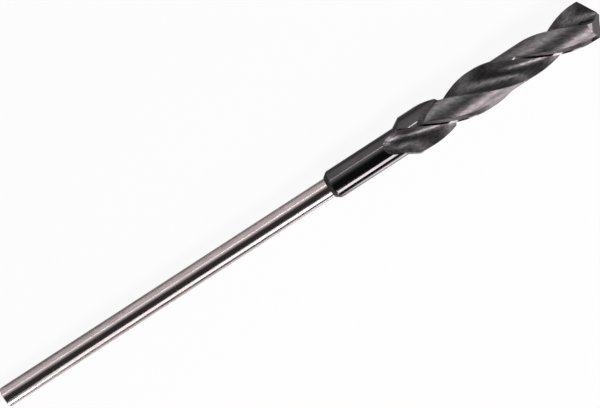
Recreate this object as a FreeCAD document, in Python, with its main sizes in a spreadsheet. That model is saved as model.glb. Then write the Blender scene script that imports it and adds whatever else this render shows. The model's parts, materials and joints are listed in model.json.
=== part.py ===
import FreeCAD, Part
import math
import os

import Sketcher

# Long formwork drill: a blackened two-flute head, bored at the back and brazed onto a bright drawn rod.
# Each piece is modelled with the drill's axis along X, the rod's free end at X 0 and the tip at +X.
# At the tip the two lips lie along Y. The pieces are then laid down as the drill comes to rest.
# Lengths are millimetres, angles are degrees, and places along the axis are X.

# How finely a flute is drawn: places along each turn, and places along its climb out of the neck.
STATIONS_PER_TURN = 15
RUNOUT_STEPS = 6

SIZES = [
    # name, value, what it is
    ("overall_length", 400.0, "rod's free end to the chisel edge"),
    ("rod_diameter", 12.0, "drawn rod, the chuck's seat"),
    ("rod_end_chamfer", 0.4, "chamfer on the rod's free end"),
    ("rod_exposed_length", 220.0, "free end to the back of the collar"),
    ("spigot_diameter", 10.0, "rod's turned-down end, inside the head"),
    ("socket_depth", 30.0, "bore in the back of the head that takes the spigot"),
    ("socket_relief", 0.5, "space left past the spigot's end"),
    ("braze_gap", 0.05, "radial gap that the braze fills"),
    ("neck_diameter", 17.2, "plain neck behind the flutes"),
    ("neck_length", 47.5, "back of the collar to the shoulder"),
    ("collar_lip", 0.6, "flat ring left round the socket's mouth, past the rod"),
    ("collar_chamfer_angle", 36.0, "collar's chamfer, measured from the axis"),
    ("collar_round", 2.0, "rounding where the chamfer meets the neck"),
    ("shoulder_angle", 30.0, "cone between neck and body, measured from the axis"),
    ("head_diameter", 24.0, "cutting diameter, over the margins"),
    ("lead", 140.0, "axial length of one turn of a flute, right-handed"),
    ("web_thickness", 4.5, "core left between the two flutes"),
    ("flute_angle", 94.0, "opening of one flute, seen along the axis"),
    ("runout_radius", 12.0, "radius by which a flute climbs out of the neck"),
    ("runout_twist", 0.5, "share of the flute's twist that goes on during the climb"),
    ("flute_back", 8.9, "shoulder back to where a flute climbs out of the neck"),
    ("margin_width", 1.45, "ground strip behind each cutting edge"),
    ("land_depth", 1.75, "how far the land lies below the margins"),
    ("margin_step", 1.2, "width of the slope from the margin's back down to the land"),
    ("land_start", 22.0, "shoulder on to the middle of the land's sloping start"),
    ("land_slant", 28.0, "slant of that start across the land, from the axis"),
    ("land_ramp", 42.0, "slope of that start, from the land's surface"),
    ("point_angle", 120.0, "angle between the two lips"),
    ("lip_clearance", 19.0, "fall of the flank behind the lip, seen along the lip's radius"),
    ("heel_flat_angle", 66.9, "turn of the heel flat's normal from the lip, towards the heel"),
    ("heel_flat_tilt", 35.0, "lean of the heel flat towards the tip"),
    ("heel_flat_radius", 9.9, "distance of the heel flat from the axis, at its middle"),
    ("heel_flat_back", 6.6, "chisel edge back to the middle of the heel flat"),
    ("seat_dip", 17.9, "turn of a heel's rear corner from straight down, as the drill lies on it"),
    ("overcut", 2.0, "how far a cutting shape runs past the metal"),
]

doc = FreeCAD.newDocument("FormworkDrill")
sheet = doc.addObject("Spreadsheet::Sheet", "Sizes")


def fill_sheet():
    """One row for each driving size: what it is, its value, and the value's name."""
    for row, (name, value, meaning) in enumerate(SIZES, start=1):
        sheet.set(f"A{row}", meaning)
        sheet.set(f"B{row}", str(value))
        sheet.setAlias(f"B{row}", name)
    doc.recompute()


def add_worked_out(name, formula):
    """A size that follows from the driving ones, kept in the same sheet under its own name."""
    row = len(SIZES) + 1 + len(worked_out)
    worked_out.append(name)
    sheet.set(f"A{row}", "worked out")
    sheet.set(f"B{row}", "=" + formula)
    sheet.setAlias(f"B{row}", name)
    doc.recompute()


def size(name):
    return float(sheet.get(name))


worked_out = []
fill_sheet()
add_worked_out("rod_radius", "rod_diameter / 2")
add_worked_out("neck_radius", "neck_diameter / 2")
add_worked_out("head_radius", "head_diameter / 2")
add_worked_out("web_radius", "web_thickness / 2")
add_worked_out("land_radius", "head_radius - land_depth")
add_worked_out("spigot_radius", "spigot_diameter / 2")
add_worked_out("socket_radius", "spigot_radius + braze_gap")
add_worked_out("socket_end", "rod_exposed_length + socket_depth")
add_worked_out("spigot_end", "socket_end - socket_relief")
add_worked_out("mouth_radius", "rod_radius + collar_lip")
add_worked_out("chamfer_length", "(neck_radius - mouth_radius) / tan(collar_chamfer_angle * 1deg)")
add_worked_out("shoulder_start", "rod_exposed_length + neck_length")
add_worked_out("body_start", "shoulder_start + (head_radius - neck_radius) / tan(shoulder_angle * 1deg)")
# The lips run parallel to Y, half a web in front of the axis, so their corners are turned a little.
add_worked_out("corner_reach", "sqrt(head_radius ^ 2 - web_radius ^ 2)")
add_worked_out("corner_turn", "asin(web_radius / head_radius) / 1deg")
add_worked_out("lip_crest", "overall_length + web_radius * tan(lip_clearance * 1deg)")
add_worked_out("corner_x", "lip_crest - corner_reach / tan(point_angle * 0.5deg)")
add_worked_out("margin_turn", "margin_width / head_radius * 180 / pi")
add_worked_out("step_turn", "margin_step / land_radius * 180 / pi")
add_worked_out("under_land", "land_radius - overcut / 2")
add_worked_out("past_surface", "head_radius + overcut")
add_worked_out("past_tip", "lip_crest + overcut")
# The drill lies on the rod's end, the rear corner of one heel and, further on, the other land's leading edge.
add_worked_out("body_back_turn", "corner_turn - (corner_x - body_start) * 360 / lead")
add_worked_out("seating_angle", "seat_dip - flute_angle - body_back_turn - 270")
add_worked_out("heel_drop", "head_radius * cos(seat_dip * 1deg) - rod_radius")
add_worked_out("rest_tilt", "atan(heel_drop / (body_start - rod_end_chamfer)) / 1deg")
add_worked_out("rest_lift", "rod_radius * cos(rest_tilt * 1deg) - rod_end_chamfer * sin(rest_tilt * 1deg)")
add_worked_out("back_reach", "(rod_radius - rod_end_chamfer) * sin(rest_tilt * 1deg)")
add_worked_out("front_reach", "overall_length * cos(rest_tilt * 1deg)")
add_worked_out("rest_shift", "(back_reach - front_reach) / 2")


def bind(thing, prop, formula):
    """Ties a property of an object to the sheet; the names in the formula are cells."""
    thing.setExpression(prop, formula.replace("@", "Sizes."))


def origin_part(body, role):
    return next(item for item in body.Origin.OriginFeatures if item.Role == role)


def new_sketch(body, name, role):
    """A sketch on one of the body's own origin planes."""
    sketch = body.newObject("Sketcher::SketchObject", name)
    sketch.AttachmentSupport = [(origin_part(body, role), "")]
    sketch.MapMode = "FlatFace"
    return sketch


def worth(thing, formula):
    """What a formula over the sheet's cells comes to."""
    return float(thing.evalExpression(formula.replace("@", "Sizes.")))


def half_section(sketch, corners, rounded=None):
    """A closed outline of straight runs; each corner is (place along the axis, radius) as cell formulas.

    rounded is (a corner's place in the list, radius), where an arc takes the corner's place."""
    points = [FreeCAD.Vector(worth(sketch, x), worth(sketch, y), 0) for x, y in corners]
    for index, point in enumerate(points):
        sketch.addGeometry(Part.LineSegment(point, points[(index + 1) % len(points)]))
    for index in range(len(points)):
        if rounded is None or index != rounded[0] - 1:
            sketch.addConstraint(Sketcher.Constraint("Coincident", index, 2, (index + 1) % len(points), 1))
    if rounded is not None:
        round_corner(sketch, points, *rounded)
    for index, (x, y) in enumerate(corners):
        # A rounded corner is held by the point where its two runs would meet.
        held = index if rounded is None or index != rounded[0] else len(points) + 1
        for kind, formula, number in (("DistanceX", x, points[index].x), ("DistanceY", y, points[index].y)):
            if formula == "0":
                axis = -2 if kind == "DistanceX" else -1
                sketch.addConstraint(Sketcher.Constraint("PointOnObject", held, 1, axis))
            else:
                place = sketch.addConstraint(Sketcher.Constraint(kind, -1, 1, held, 1, number))
                bind(sketch, f"Constraints[{place}]", formula)


def round_corner(sketch, points, corner, formula):
    """Shortens the two runs that meet at a corner and joins them by an arc that is tangent to both."""
    radius = worth(sketch, formula)
    before = (points[corner - 1] - points[corner]).normalize()
    after = (points[(corner + 1) % len(points)] - points[corner]).normalize()
    half_angle = before.getAngle(after) / 2
    first = points[corner] + before * (radius / math.tan(half_angle))
    last = points[corner] + after * (radius / math.tan(half_angle))
    inward = (before + after).normalize()
    middle = points[corner] + inward * (radius / math.sin(half_angle) - radius)
    sketch.moveGeometry(corner - 1, 2, first)
    sketch.moveGeometry(corner, 1, last)
    arc = sketch.addGeometry(Part.Arc(first, middle, last))
    meeting = sketch.addGeometry(Part.Point(points[corner]), True)
    ends = {round(sketch.getPoint(arc, pos).x, 6): pos for pos in (1, 2)}
    sketch.addConstraint([
        Sketcher.Constraint("Tangent", corner - 1, 2, arc, ends[round(first.x, 6)]),
        Sketcher.Constraint("Tangent", arc, ends[round(last.x, 6)], corner, 1),
        Sketcher.Constraint("PointOnObject", meeting, 1, corner - 1),
        Sketcher.Constraint("PointOnObject", meeting, 1, corner),
    ])
    place = sketch.addConstraint(Sketcher.Constraint("Radius", arc, radius))
    bind(sketch, f"Constraints[{place}]", formula)


def revolve_about_x(body, sketch, name):
    turned = body.newObject("PartDesign::Revolution", name)
    turned.Profile = sketch
    turned.ReferenceAxis = (sketch, ["H_Axis"])
    turned.Angle = 360
    doc.recompute()
    return turned


# Rod: drawn round bar, cut square with a light chamfer, its other end turned down for the socket.

def make_rod():
    body = doc.addObject("PartDesign::Body", "Rod")
    body.Label = "shank_rod"
    section = new_sketch(body, "RodSection", "XZ_Plane")
    half_section(section, [
        ("0", "0"),
        ("0", "@rod_radius - @rod_end_chamfer"),
        ("@rod_end_chamfer", "@rod_radius"),
        ("@rod_exposed_length", "@rod_radius"),
        ("@rod_exposed_length", "@spigot_radius"),
        ("@spigot_end - @rod_end_chamfer", "@spigot_radius"),
        ("@spigot_end", "@spigot_radius - @rod_end_chamfer"),
        ("@spigot_end", "0"),
    ])
    revolve_about_x(body, section, "RodTurned")
    return body


# Head blank: turned collar, neck, shoulder and body, with the socket bored from the back.

def make_blank():
    body = doc.addObject("PartDesign::Body", "HeadBlank")
    section = new_sketch(body, "BlankSection", "XZ_Plane")
    half_section(section, [
        ("@rod_exposed_length", "@socket_radius"),
        ("@rod_exposed_length", "@mouth_radius"),
        ("@rod_exposed_length + @chamfer_length", "@neck_radius"),
        ("@shoulder_start", "@neck_radius"),
        ("@body_start", "@head_radius"),
        ("@lip_crest", "@head_radius"),
        ("@lip_crest", "0"),
        ("@socket_end", "0"),
        ("@socket_end", "@socket_radius"),
    ], rounded=(2, "@collar_round"))
    revolve_about_x(body, section, "BlankTurned")
    grind_point(body)
    return body


def ground_flat(body, name, base, turn, depth):
    """A flat ground by a wheel: everything outside a leaning plane goes.

    The plane starts square to the axis, is moved to base = (Y, Z, X) and turned by
    turn = (about the axis, about its own second direction, about its own first direction)."""
    plane = body.newObject("PartDesign::Plane", name + "Plane")
    plane.AttachmentSupport = [(origin_part(body, "YZ_Plane"), "")]
    plane.MapMode = "FlatFace"
    moved = "create(<<vector>>; {}; {}; {})".format(*base)
    turned = "create(<<rotation>>; {}; {}; {})".format(*turn)
    bind(plane, "AttachmentOffset", f"create(<<placement>>; {moved}; {turned})")
    doc.recompute()
    sketch = body.newObject("Sketcher::SketchObject", name + "Sketch")
    sketch.AttachmentSupport = [(plane, "")]
    sketch.MapMode = "FlatFace"
    sketch.addGeometry(Part.Circle(FreeCAD.Vector(), FreeCAD.Vector(0, 0, 1), size("head_diameter")))
    sketch.addConstraint(Sketcher.Constraint("Coincident", 0, 3, -1, 1))
    place = sketch.addConstraint(Sketcher.Constraint("Radius", 0, size("head_diameter")))
    bind(sketch, f"Constraints[{place}]", "@head_diameter")
    pocket = body.newObject("PartDesign::Pocket", name)
    pocket.Profile = sketch
    pocket.Reversed = True
    bind(pocket, "Length", depth)
    doc.recompute()
    return pocket


def grind_point(body):
    """Two flanks that fall away behind the lips, and a small flat on each heel behind them."""
    before = body.Shape.Volume
    flank = ground_flat(
        body, "Flank",
        base=("0", "@web_radius", "@lip_crest"),
        turn=("0deg", "(90 - @point_angle / 2) * 1deg",
              "atan(tan(@lip_clearance * 1deg) * sin(@point_angle * 0.5deg))"),
        depth="@head_diameter")
    heel = ground_flat(
        body, "HeelFlat",
        base=("@heel_flat_radius * cos(@heel_flat_angle * 1deg)",
              "-@heel_flat_radius * sin(@heel_flat_angle * 1deg)",
              "@overall_length - @heel_flat_back"),
        turn=("-@heel_flat_angle * 1deg", "(90 - @heel_flat_tilt) * 1deg", "0deg"),
        depth="@head_diameter")
    pair = body.newObject("PartDesign::PolarPattern", "BothSides")
    pair.Originals = [flank, heel]
    pair.Axis = (origin_part(body, "X_Axis"), [""])
    pair.Angle = 360
    pair.Occurrences = 2
    body.Tip = pair
    doc.recompute()
    if body.Shape.Volume >= before:
        raise ValueError("the point was not ground")


# Flutes and land clearance: one profile each, square to the axis, carried forward along the lead.

def flute_profile():
    """A rounded V: rake side, hollow bottom round the web, heel side, closed outside the head."""
    sketch = doc.addObject("Sketcher::SketchObject", "FluteProfile")
    opening = math.radians(size("flute_angle"))
    half_sine = math.sin(opening / 2)
    floor = size("web_radius") * half_sine / (1 - half_sine)
    reach = floor / math.tan(opening / 2)
    outside = size("past_surface")
    centre = FreeCAD.Vector(reach, floor, 0)
    heel_way = FreeCAD.Vector(math.cos(opening), math.sin(opening), 0)
    axis = FreeCAD.Vector(0, 0, 1)
    rake = sketch.addGeometry(Part.LineSegment(FreeCAD.Vector(outside, 0, 0), FreeCAD.Vector(reach, 0, 0)))
    bottom = sketch.addGeometry(Part.ArcOfCircle(
        Part.Circle(centre, axis, floor), math.pi / 2 + opening, 3 * math.pi / 2))
    heel = sketch.addGeometry(Part.LineSegment(heel_way * reach, heel_way * outside))
    rim = sketch.addGeometry(Part.ArcOfCircle(Part.Circle(FreeCAD.Vector(), axis, outside), 0, opening))
    sketch.addConstraint([
        Sketcher.Constraint("Coincident", rim, 3, -1, 1),
        Sketcher.Constraint("PointOnObject", rake, 1, -1),
        Sketcher.Constraint("PointOnObject", rake, 2, -1),
        Sketcher.Constraint("Tangent", rake, 2, bottom, 2),
        Sketcher.Constraint("Tangent", bottom, 1, heel, 1),
        Sketcher.Constraint("PointOnObject", -1, 1, heel),
        Sketcher.Constraint("Coincident", rake, 1, rim, 1),
        Sketcher.Constraint("Coincident", heel, 2, rim, 2),
    ])
    round_bottom = sketch.addConstraint(Sketcher.Constraint("Radius", bottom, floor))
    wide = sketch.addConstraint(Sketcher.Constraint("Angle", -1, 1, heel, 1, opening))
    rim_size = sketch.addConstraint(Sketcher.Constraint("Radius", rim, outside))
    half = "sin(@flute_angle * 0.5deg)"
    bind(sketch, f"Constraints[{round_bottom}]", f"@web_radius * {half} / (1 - {half})")
    bind(sketch, f"Constraints[{wide}]", "@flute_angle * 1deg")
    bind(sketch, f"Constraints[{rim_size}]", "@past_surface")
    return sketch


def clearance_profile():
    """The crescent ground off a land: a slope behind the margin, on into the land, and out past the heel.

    The margin's back lies on the sketch's first axis. The land itself is left to clearance_cutter, which
    keeps a round core back from this shape."""
    sketch = doc.addObject("Sketcher::SketchObject", "ClearanceProfile")
    margin_back = FreeCAD.Vector(size("head_radius"), 0, 0)
    outside = size("past_surface")
    inside = size("under_land")
    heel = -math.radians(180 - size("flute_angle"))
    fall = "atan2(@land_radius * sin(@step_turn * 1deg); @head_radius - @land_radius * cos(@step_turn * 1deg))"
    slope_angle = math.radians(worth(sketch, fall))
    way = FreeCAD.Vector(math.cos(slope_angle), math.sin(slope_angle), 0)

    def on_slope(radius):
        """Where the slope, or its straight continuation, comes to a radius."""
        across = margin_back.dot(way)
        nearest = margin_back.dot(margin_back) - across ** 2
        return margin_back + way * (math.sqrt(radius ** 2 - nearest) - across)

    def at(radius, angle):
        return FreeCAD.Vector(radius * math.cos(angle), radius * math.sin(angle), 0)

    def arc(radius, first, last):
        round_axis = Part.Circle(FreeCAD.Vector(), FreeCAD.Vector(0, 0, 1), radius)
        return sketch.addGeometry(Part.ArcOfCircle(round_axis, first, last))

    foot, top = on_slope(inside), on_slope(outside)
    slope = sketch.addGeometry(Part.LineSegment(foot, top))
    floor = arc(inside, heel, math.atan2(foot.y, foot.x))
    end = sketch.addGeometry(Part.LineSegment(at(inside, heel), at(outside, heel)))
    rim = arc(outside, heel, math.atan2(top.y, top.x))
    mark = sketch.addGeometry(Part.Point(margin_back), True)
    sketch.addConstraint([
        Sketcher.Constraint("Coincident", floor, 3, -1, 1),
        Sketcher.Constraint("Coincident", rim, 3, -1, 1),
        Sketcher.Constraint("Coincident", slope, 1, floor, 2),
        Sketcher.Constraint("Coincident", floor, 1, end, 1),
        Sketcher.Constraint("PointOnObject", -1, 1, end),
        Sketcher.Constraint("Coincident", end, 2, rim, 1),
        Sketcher.Constraint("Coincident", rim, 2, slope, 2),
        Sketcher.Constraint("PointOnObject", mark, 1, -1),
        Sketcher.Constraint("PointOnObject", mark, 1, slope),
    ])
    for formula, constraint in (
        ("@head_radius", Sketcher.Constraint("DistanceX", -1, 1, mark, 1, margin_back.x)),
        (fall, Sketcher.Constraint("Angle", slope, slope_angle)),
        ("@under_land", Sketcher.Constraint("Radius", floor, inside)),
        ("@past_surface", Sketcher.Constraint("Radius", rim, outside)),
        ("(180 - @flute_angle) * 1deg", Sketcher.Constraint("Angle", end, 1, -1, 1, -heel)),
    ):
        place = sketch.addConstraint(constraint)
        bind(sketch, f"Constraints[{place}]", formula)
    return sketch


def carried(profile, x, turn, lift=0.0, lift_way=0.0):
    """The profile's outline at a place along the axis, turned about it and lifted away from it."""
    wire = profile.Shape.Wires[0].copy()
    lift_angle = math.radians(lift_way)
    wire.translate(FreeCAD.Vector(lift * math.cos(lift_angle), lift * math.sin(lift_angle), 0))
    upright = FreeCAD.Rotation(FreeCAD.Vector(0, 1, 0), FreeCAD.Vector(0, 0, 1), FreeCAD.Vector(1, 0, 0), "ZXY")
    about_axis = FreeCAD.Rotation(FreeCAD.Vector(1, 0, 0), turn)
    place = FreeCAD.Placement(FreeCAD.Vector(x, 0, 0), about_axis * upright)
    wire.Placement = place * wire.Placement
    return wire


def edge_turn(x):
    """Turn of the leading edge about the axis at a place along it."""
    return size("corner_turn") + (x - size("corner_x")) * 360 / size("lead")


def stations(first, last):
    """Evenly spaced places along the axis, close enough for the lead."""
    count = math.ceil((last - first) / size("lead") * STATIONS_PER_TURN)
    return [first + (last - first) * index / count for index in range(count + 1)]


def flute_cutter(profile):
    """The flute's void: it rises out of the neck on a wheel's radius, then runs at full depth past the tip."""
    wheel = size("runout_radius")
    neck_depth = size("neck_radius") - size("web_radius")
    leave = math.acos(1 - neck_depth / wheel)
    last_lift = math.acos(1 - (neck_depth + size("overcut") / 4) / wheel)
    full_depth = size("shoulder_start") - size("flute_back") + wheel * math.sin(leave)
    climb_twist = size("runout_twist") * 360 / size("lead")
    outlines = []
    for index in range(RUNOUT_STEPS):
        angle = last_lift * (RUNOUT_STEPS - index) / RUNOUT_STEPS
        back = wheel * math.sin(angle)
        lift = wheel * (1 - math.cos(angle))
        turn = edge_turn(full_depth) - back * climb_twist
        outlines.append(carried(profile, full_depth - back, turn, lift, size("flute_angle") / 2))
    # The body's back gets a place of its own, because the drill lies on the heel's corner there.
    behind = stations(full_depth, size("body_start"))[:-1]
    for x in behind + stations(size("body_start"), size("past_tip")):
        outlines.append(carried(profile, x, edge_turn(x)))
    return Part.makeLoft(outlines, True, False)


def clearance_cutter(profile):
    """The land's clearance: full depth past the tip, with a slanted, sloping start behind."""
    middle_x = size("shoulder_start") + size("land_start")
    first = middle_x - size("head_diameter")
    outlines = []
    for x in stations(first, size("past_tip")):
        outlines.append(carried(profile, x, edge_turn(x) - size("margin_turn")))
    cutter = Part.makeLoft(outlines, True, False)
    # What lies behind the slanted start stays on the land.
    middle_turn = edge_turn(middle_x) - (180 - size("flute_angle")) / 2
    reach = size("neck_length") + size("head_diameter")
    kept = Part.makeBox(reach, reach, reach, FreeCAD.Vector(-reach, -reach / 2, -reach / 2))
    slope = FreeCAD.Rotation(FreeCAD.Vector(0, 1, 0), size("land_ramp") - 90)
    slant = FreeCAD.Rotation(FreeCAD.Vector(0, 0, 1), size("land_slant") - 90)
    about_axis = FreeCAD.Rotation(FreeCAD.Vector(1, 0, 0), middle_turn - 90)
    middle = about_axis.multVec(FreeCAD.Vector(0, 0, (size("head_radius") + size("land_radius")) / 2))
    middle.x = middle_x
    kept.Placement = FreeCAD.Placement(middle, about_axis * slant * slope)
    core = Part.makeCylinder(size("land_radius"), size("past_tip"), FreeCAD.Vector(), FreeCAD.Vector(1, 0, 0))
    return cutter.cut(core).cut(kept)


def cutter_pair(name, shape):
    """The same cut for both flutes or both lands, half a turn apart."""
    pair = []
    for side, turn in (("Near", 0), ("Far", 180)):
        cutter = doc.addObject("Part::Feature", name + side)
        cutter.Shape = shape
        cutter.Placement = FreeCAD.Placement(
            FreeCAD.Vector(), FreeCAD.Rotation(FreeCAD.Vector(1, 0, 0), turn))
        pair.append(cutter)
    return pair


def make_head():
    blank = make_blank()
    flute = flute_profile()
    clearance = clearance_profile()
    doc.recompute()
    cutters = cutter_pair("Flute", flute_cutter(flute)) + cutter_pair("Clearance", clearance_cutter(clearance))
    head = blank
    for cutter in cutters:
        cut = doc.addObject("Part::Cut", "Less" + cutter.Name)
        cut.Base = head
        cut.Tool = cutter
        cut.Refine = False
        doc.recompute()
        if head.Shape.Volume - cut.Shape.Volume < cutter.Shape.Volume / 10:
            raise ValueError(f"{cutter.Name} hardly cut anything")
        head = cut
    head.Label = "fluted_head"
    return head


def lay_down(piece):
    """Lips turned to their seating angle, tip raised, and the point under the middle at the origin."""
    bind(piece, "Placement",
         "create(<<placement>>; create(<<vector>>; @rest_shift; 0; @rest_lift); "
         "create(<<rotation>>; 0deg; -@rest_tilt * 1deg; @seating_angle * 1deg))")


def check_and_write(nodes):
    doc.recompute()
    for thing in doc.Objects:
        if "Invalid" in thing.State or "Error" in thing.State:
            raise ValueError(f"{thing.Label} failed: {thing.State}")
    os.makedirs("parts", exist_ok=True)
    for node in nodes:
        shape = node.Shape
        if shape.isNull() or not shape.isValid() or len(shape.Solids) != 1:
            raise ValueError(f"{node.Label} is not one valid solid")
        box = shape.optimalBoundingBox()
        print(node.Label, "volume", round(shape.Volume, 2), "faces", len(shape.Faces),
              "x", round(box.XMin, 3), round(box.XMax, 3), "y", round(box.YMin, 3), round(box.YMax, 3),
              "z", round(box.ZMin, 3), round(box.ZMax, 3))
        shape.exportStep(f"parts/{node.Label}.step")


rod = make_rod()
head = make_head()
for piece in (rod, head):
    lay_down(piece)
check_and_write((rod, head))
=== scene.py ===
import json
import math

import bpy
import numpy as np
from mathutils import Matrix


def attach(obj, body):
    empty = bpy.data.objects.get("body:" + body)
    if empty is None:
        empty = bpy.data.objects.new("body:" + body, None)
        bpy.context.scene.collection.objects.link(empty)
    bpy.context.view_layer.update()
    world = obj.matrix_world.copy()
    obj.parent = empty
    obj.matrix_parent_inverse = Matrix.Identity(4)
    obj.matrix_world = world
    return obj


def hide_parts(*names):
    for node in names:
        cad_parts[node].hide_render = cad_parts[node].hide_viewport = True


# A long formwork drill lying on a pale table: a blackened fluted head on a bright drawn rod.
# The frame gives the solids; this script gives them their finish, the light and the camera.
# Lengths are metres; names that end in _mm are millimetres.

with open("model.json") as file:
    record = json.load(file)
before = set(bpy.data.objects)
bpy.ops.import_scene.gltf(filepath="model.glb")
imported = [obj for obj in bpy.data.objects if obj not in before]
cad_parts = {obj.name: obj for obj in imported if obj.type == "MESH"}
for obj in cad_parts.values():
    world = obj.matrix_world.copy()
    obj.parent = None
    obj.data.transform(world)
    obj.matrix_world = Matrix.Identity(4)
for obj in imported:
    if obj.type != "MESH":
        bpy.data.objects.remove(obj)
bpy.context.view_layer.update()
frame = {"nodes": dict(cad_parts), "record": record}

MM = 0.001

# Sizes of the drill that the finishes need, in millimetres along and across its axis.
rod_radius_mm = 6.0
rod_end_chamfer_mm = 0.4
rod_exposed_mm = 220.0
spigot_radius_mm = 5.0
spigot_end_mm = 249.5
neck_radius_mm = 8.6
collar_length_mm = 8.0
body_start_mm = 273.39
land_radius_mm = 10.25
head_radius_mm = 12.0
point_start_mm = 388.0
lead_mm = 140.0

# The drill's own axes, from the mount on its shank: along the axis, level across it, and square to both.
shank = frame["record"]["mounts"][0]
along = -np.array(shank["axis"])
along /= np.linalg.norm(along)
across = np.array([0.0, 1.0, 0.0])
above = np.cross(along, across)
half_shank = (shank["dims"]["length_mm"] / 2 + rod_end_chamfer_mm) * MM
rod_end = np.array(shank["pos_m"]) - along * half_shank

# The photograph looks at the drill from this turn about its axis, with the tip leaning to the camera.
# In the picture, facing points at the camera and beside points down.
facing_turn = math.radians(43.9)
tip_lean = math.radians(10.0)
facing = across * math.cos(facing_turn) + above * math.sin(facing_turn)
beside = -across * math.sin(facing_turn) + above * math.cos(facing_turn)


def to_drill(points):
    """Places in the drill's own axes: distance from the rod's end along the axis, then the two across it."""
    from_end = points - rod_end
    return np.column_stack([from_end @ along, from_end @ across, from_end @ above])


def from_drill(places):
    """The other way: rod end plus each part times its axis."""
    return rod_end + places[:, :1] * along + places[:, 1:2] * across + places[:, 2:3] * above


def new_piece(name, points, faces):
    """A mesh object from arrays, smooth all over, riding on the drill's one body."""
    mesh = bpy.data.meshes.new(name)
    mesh.from_pydata(points.tolist(), [], faces)
    mesh.polygons.foreach_set("use_smooth", np.ones(len(mesh.polygons), dtype=bool))
    mesh.update()
    piece = bpy.data.objects.new(name, mesh)
    bpy.context.scene.collection.objects.link(piece)
    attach(piece, "root")
    return piece


def store_places(piece):
    """Two sets of coordinates that the finishes read, in metres.

    drill: along the axis and the two across it. untwisted: the same, with each place turned back about
    the axis by its distance along over the lead, so that a line along it follows the flutes."""
    mesh = piece.data
    points = np.empty(len(mesh.vertices) * 3)
    mesh.vertices.foreach_get("co", points)
    places = to_drill(points.reshape(-1, 3))
    back = -2 * math.pi * places[:, 0] / (lead_mm * MM)
    untwisted = np.column_stack([
        places[:, 0],
        places[:, 1] * np.cos(back) - places[:, 2] * np.sin(back),
        places[:, 1] * np.sin(back) + places[:, 2] * np.cos(back),
    ])
    for name, values in (("drill", places), ("untwisted", untwisted)):
        layer = mesh.attributes.new(name, "FLOAT_VECTOR", "POINT")
        layer.data.foreach_set("vector", values.ravel())


# Finishes


def linear(code):
    """An sRGB hex colour as linear red, green, blue and alpha."""
    values = [int(code[i:i + 2], 16) / 255 for i in (1, 3, 5)]
    values = [v / 12.92 if v <= 0.04045 else ((v + 0.055) / 1.055) ** 2.4 for v in values]
    return (*values, 1.0)


def add(material, kind, inputs=None, **settings):
    """Adds one node: settings are its own properties, inputs are values or other nodes' output sockets."""
    node = material.node_tree.nodes.new("ShaderNode" + kind)
    for name, value in settings.items():
        setattr(node, name, value)
    for name, value in (inputs or {}).items():
        if isinstance(value, bpy.types.NodeSocket):
            material.node_tree.links.new(value, node.inputs[name])
        else:
            node.inputs[name].default_value = value
    return node


def link(material, start, end):
    material.node_tree.links.new(start, end)


def metal(name, roughness):
    """A metal with plain settings, ready for its own pattern."""
    material = bpy.data.materials.new(name)
    material.use_nodes = True
    shader = material.node_tree.nodes["Principled BSDF"]
    shader.inputs["Metallic"].default_value = 1.0
    shader.inputs["Roughness"].default_value = roughness
    return material, shader


def stretched_noise(material, places, pitches_mm, detail=2.0, roughness=0.5):
    """Noise on the named coordinates, with its own pitch in millimetres along each of them."""
    source = add(material, "Attribute", attribute_name=places)
    scaled = add(material, "VectorMath", {0: source.outputs["Vector"], 1: [1 / (p * MM) for p in pitches_mm]},
                 operation="MULTIPLY")
    noise = add(material, "TexNoise", {
        "Vector": scaled.outputs["Vector"], "Scale": 1.0, "Detail": detail, "Roughness": roughness})
    return noise.outputs["Fac"]


def two_tones(material, fac, low, high, dark, light):
    """A colour between two, as the pattern goes from low to high."""
    ramp = add(material, "ValToRGB", {"Fac": fac})
    ramp.color_ramp.elements[0].position = low
    ramp.color_ramp.elements[1].position = high
    ramp.color_ramp.elements[0].color = linear(dark)
    ramp.color_ramp.elements[1].color = linear(light)
    return ramp.outputs["Color"]


def spread(material, fac, lowest, highest):
    """The pattern's middle half stretched between two values."""
    mapped = add(material, "MapRange", {
        "Value": fac, "From Min": 0.25, "From Max": 0.75, "To Min": lowest, "To Max": highest})
    return mapped.outputs["Result"]


def ripple(material, shader, height, depth_mm, strength):
    """Bump of a real depth, from a pattern between 0 and 1."""
    bump = add(material, "Bump", {"Height": height, "Distance": depth_mm * MM, "Strength": strength})
    link(material, bump.outputs["Normal"], shader.inputs["Normal"])


def drawn_rod_steel():
    """Cold-drawn round bar, centreless ground: light steel with long faint draw lines and a soft sheen."""
    material, shader = metal("drawn_rod_steel", 0.17)
    cloud = stretched_noise(material, "drill", (11.0, 1.8, 1.8), detail=3.0)
    colour = two_tones(material, cloud, 0.3, 0.7, "#b8adac", "#d1c7c6")
    link(material, colour, shader.inputs["Base Color"])
    # Real draw lines are finer than this pitch, which is as coarse as they need to show.
    lines = stretched_noise(material, "drill", (14.0, 0.5, 0.5), detail=2.0)
    link(material, spread(material, lines, 0.14, 0.21), shader.inputs["Roughness"])
    ripple(material, shader, lines, 0.01, 0.15)
    return material


def ground_black_steel():
    """High-speed steel, steam-blackened and then cylindrically ground: near-black mirror with faint rings."""
    material, shader = metal("ground_black_steel", 0.09)
    cloud = stretched_noise(material, "drill", (12.0, 5.0, 5.0), detail=3.0)
    colour = two_tones(material, cloud, 0.35, 0.65, "#565556", "#616061")
    link(material, colour, shader.inputs["Base Color"])
    rings = stretched_noise(material, "drill", (0.35, 40.0, 40.0), detail=1.0)
    link(material, spread(material, rings, 0.07, 0.12), shader.inputs["Roughness"])
    ripple(material, shader, rings, 0.002, 0.3)
    return material


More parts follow.
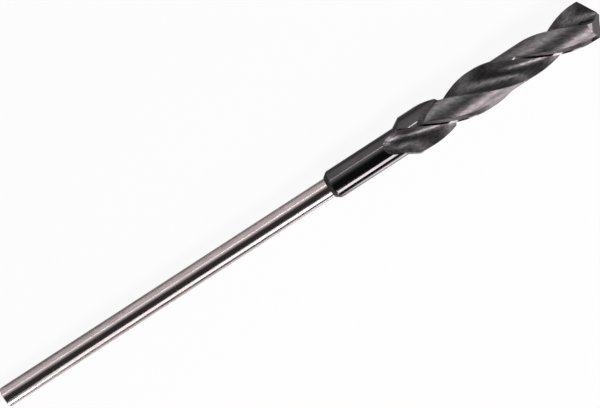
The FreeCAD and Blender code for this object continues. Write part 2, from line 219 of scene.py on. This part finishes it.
def relieved_land_steel():
    """The land behind the margin, form-relieved and left satin: mid grey, marks that follow the twist."""
    material, shader = metal("relieved_land_steel", 0.47)
    cloud = stretched_noise(material, "untwisted", (3.0, 1.3, 1.3), detail=4.0)
    colour = two_tones(material, cloud, 0.3, 0.7, "#625f60", "#8c898a")
    link(material, colour, shader.inputs["Base Color"])
    marks = stretched_noise(material, "untwisted", (3.0, 0.6, 0.6), detail=3.0)
    link(material, spread(material, marks, 0.42, 0.52), shader.inputs["Roughness"])
    ripple(material, shader, marks, 0.03, 0.5)
    return material


def milled_flute_steel():
    """Flutes milled from the solid, then steam-blackened: a dull and grainy oxide, marks along the flute.

    The oxide film is thin, so the shader is a little short of a full metal."""
    material, shader = metal("milled_flute_steel", 0.38)
    shader.inputs["Metallic"].default_value = 0.9
    cloud = stretched_noise(material, "untwisted", (2.4, 1.1, 1.1), detail=4.0)
    colour = two_tones(material, cloud, 0.3, 0.7, "#4d4b4d", "#7b797a")
    link(material, colour, shader.inputs["Base Color"])
    marks = stretched_noise(material, "untwisted", (2.5, 0.8, 0.8), detail=4.0, roughness=0.6)
    link(material, spread(material, marks, 0.32, 0.44), shader.inputs["Roughness"])
    ripple(material, shader, marks, 0.04, 0.6)
    return material


def wheel_ground_steel():
    """Point flanks, ground last on a cup wheel: plain dark grey with straight fine scratches."""
    material, shader = metal("wheel_ground_steel", 0.18)
    scratches = stretched_noise(material, "drill", (6.0, 0.35, 6.0), detail=3.0)
    colour = two_tones(material, scratches, 0.3, 0.7, "#403e3d", "#504d4c")
    link(material, colour, shader.inputs["Base Color"])
    link(material, spread(material, scratches, 0.15, 0.24), shader.inputs["Roughness"])
    ripple(material, shader, scratches, 0.015, 0.35)
    return material


def oxide_black_steel():
    """The collar's turned edge, left as the steam bath blackened it: dark, dull and slightly mottled."""
    material, shader = metal("oxide_black_steel", 0.4)
    cloud = stretched_noise(material, "drill", (1.5, 1.5, 1.5), detail=4.0)
    colour = two_tones(material, cloud, 0.3, 0.7, "#252323", "#494646")
    link(material, colour, shader.inputs["Base Color"])
    link(material, spread(material, cloud, 0.35, 0.45), shader.inputs["Roughness"])
    ripple(material, shader, cloud, 0.02, 0.4)
    return material


# Rod: its outline turned about the axis, place = (along, radius cos turn, radius sin turn).

ring_points = 128
soft_edge_mm = 0.08


def rod_outline():
    """Half outline of the rod, from one end's centre to the other's, with its edges a little rounded."""
    soft = soft_edge_mm
    chamfer_foot = rod_radius_mm - rod_end_chamfer_mm
    return np.array([
        (0.0, 0.0),
        (0.0, chamfer_foot - soft),
        (soft / 3, chamfer_foot - soft / 6),
        (soft, chamfer_foot + soft),
        (rod_end_chamfer_mm - soft, rod_radius_mm - soft),
        (rod_end_chamfer_mm + soft / 3, rod_radius_mm - soft / 6),
        (rod_end_chamfer_mm + 2 * soft, rod_radius_mm),
        (rod_exposed_mm / 2, rod_radius_mm),
        (rod_exposed_mm, rod_radius_mm),
        (rod_exposed_mm, spigot_radius_mm),
        (spigot_end_mm, spigot_radius_mm),
        (spigot_end_mm, 0.0),
    ]) * MM


def make_rod(material):
    """The outline's inner points are turned into rings, and its two ends, on the axis, are single points."""
    outline = rod_outline()
    turns = np.linspace(0, 2 * math.pi, ring_points, endpoint=False)
    rings = outline[1:-1]
    x = np.repeat(rings[:, 0], ring_points)
    y = np.outer(rings[:, 1], np.cos(turns)).ravel()
    z = np.outer(rings[:, 1], np.sin(turns)).ravel()
    places = np.vstack([np.column_stack([x, y, z]), (outline[0][0], 0, 0), (outline[-1][0], 0, 0)])
    here = np.arange(ring_points)
    following = np.roll(here, -1)
    start = (np.arange(len(rings) - 1) * ring_points)[:, None]
    walls = np.stack([start + here, start + following, start + ring_points + following,
                      start + ring_points + here], axis=-1).reshape(-1, 4)
    last = (len(rings) - 1) * ring_points
    first_centre = len(rings) * ring_points
    first_cap = np.column_stack([np.full(ring_points, first_centre), following, here])
    last_cap = np.column_stack([np.full(ring_points, first_centre + 1), last + here, last + following])
    faces = walls[:, ::-1].tolist() + first_cap[:, ::-1].tolist() + last_cap[:, ::-1].tolist()
    piece = new_piece("drawn_rod", from_drill(places), faces)
    piece.data.materials.append(material)
    piece.data.set_sharp_from_angle(angle=math.radians(35))
    store_places(piece)
    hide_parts("shank_rod")


# Head: a merged copy of the solid's own mesh, with a finish for each ground or milled zone.

# A corner belongs to a radius, or to a place along the axis, when it lies this near to it.
near_mm = 0.12

# How a face must turn to belong to a zone: the cosine of its normal with the way out from the axis, or,
# for the last two, with the axis towards the tip.
out_on_cylinders = 0.95
out_on_slopes = 0.3
out_on_flanks = 0.1
forward_on_flanks = 0.05
forward_on_shoulder = -0.2

flute, ground, land, flank, collar = range(5)


def merged_copy(node):
    """Corner places joined where they coincide, with the solid's own normals kept at every corner."""
    mesh = node.data
    points = np.empty(len(mesh.vertices) * 3)
    mesh.vertices.foreach_get("co", points)
    corners = np.empty(len(mesh.loops), dtype=int)
    mesh.loops.foreach_get("vertex_index", corners)
    normals = np.empty(len(mesh.loops) * 3)
    mesh.corner_normals.foreach_get("vector", normals)
    joined, place_of = np.unique(np.round(points.reshape(-1, 3), 7), axis=0, return_inverse=True)
    triangles = place_of.ravel()[corners].reshape(-1, 3)
    normals = normals.reshape(-1, 3, 3)
    whole = (triangles[:, 0] != triangles[:, 1]) & (triangles[:, 1] != triangles[:, 2])
    whole &= triangles[:, 2] != triangles[:, 0]
    return joined, triangles[whole], normals[whole]


def head_zones(points, triangles):
    """Which finish each triangle has, told by how far its corners lie from the axis and how it faces."""
    places = to_drill(points)[triangles] / MM
    x = places[:, :, 0]
    radius = np.hypot(places[:, :, 1], places[:, :, 2])
    facing_way = np.cross(places[:, 1] - places[:, 0], places[:, 2] - places[:, 0])
    facing_way /= np.maximum(np.linalg.norm(facing_way, axis=1, keepdims=True), 1e-12)
    forward = facing_way[:, 0]
    middle = places.mean(axis=1)
    outward = middle[:, 1:] / np.linalg.norm(middle[:, 1:], axis=1, keepdims=True)
    lean_out = (facing_way[:, 1:] * outward).sum(axis=1)
    round_about = lean_out > out_on_cylinders
    zone = np.full(len(triangles), flute)
    on_land = (np.abs(radius - land_radius_mm) < near_mm).all(axis=1) & round_about
    zone[on_land] = land
    # The land's sloping start and the slope behind the margin lie between the land's radius and the head's.
    between = ((radius > land_radius_mm - near_mm) & (radius < head_radius_mm + near_mm)).all(axis=1)
    zone[between & (lean_out > out_on_slopes)] = land
    on_body = (radius > head_radius_mm - near_mm).all(axis=1) & round_about
    on_neck = (np.abs(radius - neck_radius_mm) < near_mm).all(axis=1) & round_about
    on_shoulder = (x < body_start_mm + near_mm).all(axis=1) & (forward < forward_on_shoulder)
    on_shoulder &= radius.min(axis=1) > neck_radius_mm - near_mm
    zone[on_body | on_neck | on_shoulder] = ground
    zone[(x < rod_exposed_mm + collar_length_mm).all(axis=1) & ~on_neck] = collar
    at_point = (x > point_start_mm).all(axis=1) & ~on_body & ~on_land
    zone[at_point & (forward > forward_on_flanks) & (lean_out > out_on_flanks)] = flank
    return zone


def make_head(materials):
    """The materials are in the order of the zones' numbers."""
    points, triangles, normals = merged_copy(frame["nodes"]["fluted_head"])
    piece = new_piece("ground_head", points, triangles.tolist())
    mesh = piece.data
    for material in materials:
        mesh.materials.append(material)
    mesh.polygons.foreach_set("material_index", head_zones(points, triangles))
    mesh.normals_split_custom_set(normals.reshape(-1, 3).tolist())
    store_places(piece)
    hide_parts("fluted_head")


make_rod(drawn_rod_steel())
make_head([milled_flute_steel(), ground_black_steel(), relieved_land_steel(), wheel_ground_steel(),
           oxide_black_steel()])


# Table and room

# The room's brightness at each elevation, in degrees above the table.
room_light = [(0, 0.95), (8, 0.93), (15, 0.72), (24, 0.38), (32, 0.11), (40, 0.035)]

table_reach = 12.0

# How much of the table is plain white to the camera, and to the steel that mirrors it. The rest is lit
# by the lamps, so that the drill's shadow shows.
white_to_camera = 0.93
white_to_steel = 0.12


def make_table():
    """A wide pale table, flat where the drill lies."""
    reach = table_reach
    corners = [(-reach, -reach, 0), (reach, -reach, 0), (reach, reach, 0), (-reach, reach, 0)]
    mesh = bpy.data.meshes.new("table")
    mesh.from_pydata(corners, [], [[0, 1, 2, 3]])
    table = bpy.data.objects.new("table", mesh)
    bpy.context.scene.collection.objects.link(table)
    material = bpy.data.materials.new("white_paper")
    material.use_nodes = True
    shader = material.node_tree.nodes["Principled BSDF"]
    shader.inputs["Base Color"].default_value = linear("#dfdfdf")
    shader.inputs["Roughness"].default_value = 0.9
    shader.inputs["Specular IOR Level"].default_value = 0.2
    glow = add(material, "Emission", {"Color": (1, 1, 1, 1), "Strength": 1.0})
    ray = add(material, "LightPath")
    mirrored = add(material, "Math", {0: ray.outputs["Is Glossy Ray"], 1: white_to_steel},
                   operation="MULTIPLY")
    share = add(material, "Math", {0: ray.outputs["Is Camera Ray"], 1: white_to_camera,
                                   2: mirrored.outputs["Value"]}, operation="MULTIPLY_ADD")
    mixed = add(material, "MixShader", {0: share.outputs["Value"], 1: shader.outputs["BSDF"],
                                        2: glow.outputs["Emission"]})
    link(material, mixed.outputs["Shader"], material.node_tree.nodes["Material Output"].inputs["Surface"])
    mesh.materials.append(material)


def make_room():
    """Pale walls, brightest near the horizon and fading to a dim ceiling, seen in the polished steel."""
    world = bpy.data.worlds.new("room")
    bpy.context.scene.world = world
    world.use_nodes = True
    nodes = world.node_tree.nodes
    way = nodes.new("ShaderNodeTexCoord")
    height = nodes.new("ShaderNodeSeparateXYZ")
    ramp = nodes.new("ShaderNodeValToRGB")
    world.node_tree.links.new(way.outputs["Generated"], height.inputs["Vector"])
    world.node_tree.links.new(height.outputs["Z"], ramp.inputs["Fac"])
    world.node_tree.links.new(ramp.outputs["Color"], nodes["Background"].inputs["Color"])
    stops = ramp.color_ramp.elements
    while len(stops) < len(room_light):
        stops.new(0.5)
    for stop, (elevation, brightness) in zip(stops, room_light):
        stop.position = math.sin(math.radians(elevation))
        stop.color = (brightness, brightness, brightness, 1)


def placed(right, up, back, place):
    """A placement from three axes and a point."""
    columns = np.column_stack([right, up, back])
    return Matrix([[*columns[row], place[row]] for row in range(3)] + [[0, 0, 0, 1]])


# Lamps stand this far from the drill's axis.
lamp_distance = 1.2
pinkish = (1.0, 0.91, 0.95)
neutral = (1.0, 1.0, 1.0)

# The bright lines along the drill are these lamps, mirrored in the steel. In the picture, a lamp with a
# positive turn shows below the drill's middle line, and the further down the larger its turn; the two
# horizon lamps make the thin line above it. The last stands past the tip, for the point's ground faces.
# Each lamp: name, turn in degrees, its two ends along the axis, width, brightness and tint.
lamps = [
    ("head_softbox", 71, (0.0, 0.9), 0.45, 8.2, pinkish),
    ("rod_softbox", 67, (-0.3, 0.0), 0.76, 1.7, neutral),
    ("run_out_softbox", 88, (-0.8, -0.3), 0.5, 7.0, pinkish),
    ("low_softbox", 123, (0.02, 2.6), 0.5, 3.5, pinkish),
    ("horizon_softbox", -42, (0.06, 0.9), 0.06, 12.0, neutral),
    ("back_horizon_softbox", -42, (-0.5, 0.06), 0.06, 2.5, neutral),
    ("tip_softbox", 61, (1.65, 2.35), 0.6, 9.0, neutral),
]


def make_softbox(name, turn, reach, width, brightness, tint):
    """A long soft lamp beside the drill: turn is about the axis from the camera's side, and reach is the
    lamp's two ends along the axis from the rod's end."""
    length = reach[1] - reach[0]
    lamp = bpy.data.lights.new(name, "AREA")
    lamp.shape = "RECTANGLE"
    lamp.size = length
    lamp.size_y = width
    lamp.energy = brightness * math.pi * length * width
    lamp.color = tint
    softbox = bpy.data.objects.new(name, lamp)
    bpy.context.scene.collection.objects.link(softbox)
    angle = math.radians(turn)
    way = facing * math.cos(angle) + beside * math.sin(angle)
    middle = rod_end + along * (reach[0] + reach[1]) / 2 + way * lamp_distance
    softbox.matrix_world = placed(along, np.cross(way, along), way, middle)
    softbox.visible_camera = False


# The view: how far off the camera is, what its picture's long side spans, how the drill rises in the
# picture, and how far the picture's middle lies from the rod's end, along the drill and above it.
camera_distance = 9.0
view_width = 0.33595
picture_rise = math.atan2(0.54434, 0.83886)
middle_along = 0.1975
middle_above = 0.00115


def make_camera():
    """The photograph's view, from far off, with the rod's end at the bottom left."""
    way = facing * math.cos(tip_lean) + along * math.sin(tip_lean)
    seen_along = along - (along @ way) * way
    seen_along /= np.linalg.norm(seen_along)
    right = seen_along * math.cos(picture_rise) + beside * math.sin(picture_rise)
    up = seen_along * math.sin(picture_rise) - beside * math.cos(picture_rise)
    target = rod_end + seen_along * middle_along - beside * middle_above
    data = bpy.data.cameras.new("camera")
    data.sensor_width = 36.0
    data.lens = data.sensor_width * camera_distance / view_width
    data.clip_end = 50.0
    camera = bpy.data.objects.new("camera", data)
    bpy.context.scene.collection.objects.link(camera)
    camera.matrix_world = placed(right, up, way, target + way * camera_distance)
    bpy.context.scene.camera = camera


make_table()
make_room()
for lamp_sizes in lamps:
    make_softbox(*lamp_sizes)
make_camera()
bpy.context.scene.view_settings.view_transform = "Standard"
